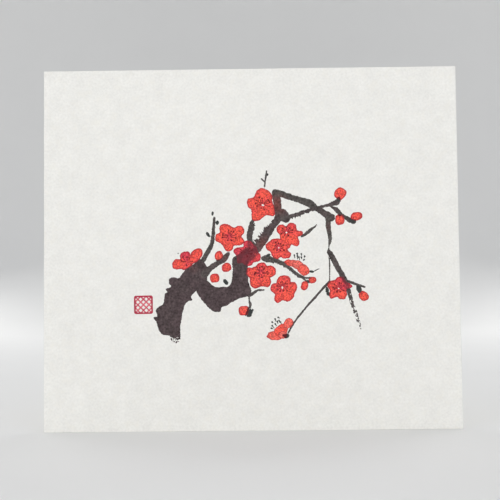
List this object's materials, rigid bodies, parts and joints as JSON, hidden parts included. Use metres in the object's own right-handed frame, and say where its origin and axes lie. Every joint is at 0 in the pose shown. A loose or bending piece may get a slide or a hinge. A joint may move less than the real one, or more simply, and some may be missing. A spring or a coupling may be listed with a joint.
{
  "type": "painted art board",
  "caption": "Flat rectangular paper-faced art board, brush-painted with a blossoming plum branch and a plain red seal mark, for a frame, an easel or a wall.",
  "frame": {"origin": "centre of the board's back face", "axes": "the picture stands upright: +X to the picture's right, +Y out of the back, away from the painted face, +Z to the picture's top"},
  "size_m": [0.275, 0.0025, 0.24],
  "materials": {
    "face_paper": "matte",
    "core_board": "matte",
    "back_paper": "matte",
    "branch_ink": "matte",
    "dab_ink": "matte",
    "petal_pigment": "matte",
    "stamen_ink": "matte",
    "seal_paste": "satin"
  },
  "bodies": {
    "root": {"back_paper": "back_paper", "core_ply_rear": "core_board", "core_ply_middle": "core_board", "core_ply_front": "core_board", "face_paper": "face_paper", "trunk_stroke": "branch_ink", "elbow_stroke": "branch_ink", "bough_stroke": "branch_ink", "bough_knob": "branch_ink", "crook_stroke": "branch_ink", "arm_stroke": "branch_ink", "brace_stroke": "branch_ink", "fork_knot": "branch_ink", "upper_fork": "branch_ink", "lower_fork": "branch_ink", "hanging_shoot": "branch_ink", "hanging_branch": "branch_ink", "hanging_thread": "branch_ink", "trailing_twig": "branch_ink", "bud_spur": "branch_ink", "short_branch": "branch_ink", "left_twig": "branch_ink", "trunk_spur": "branch_ink", "middle_twig": "branch_ink", "right_twig": "branch_ink", "top_twig": "branch_ink", "low_twigs": "branch_ink", "moss_dots": "dab_ink", "calyx_dabs": "dab_ink", "blossom_01": "petal_pigment", "blossom_02": "petal_pigment", "blossom_03": "petal_pigment", "blossom_04": "petal_pigment", "blossom_05": "petal_pigment", "blossom_06": "petal_pigment", "blossom_07": "petal_pigment", "blossom_08": "petal_pigment", "slant_blossom": "petal_pigment", "side_blossom_upper": "petal_pigment", "side_blossom_lower": "petal_pigment", "buds": "petal_pigment", "stamens": "stamen_ink", "anthers": "stamen_ink", "side_stamens": "stamen_ink", "seal_impression": "seal_paste"}
  },
  "joints": []
}
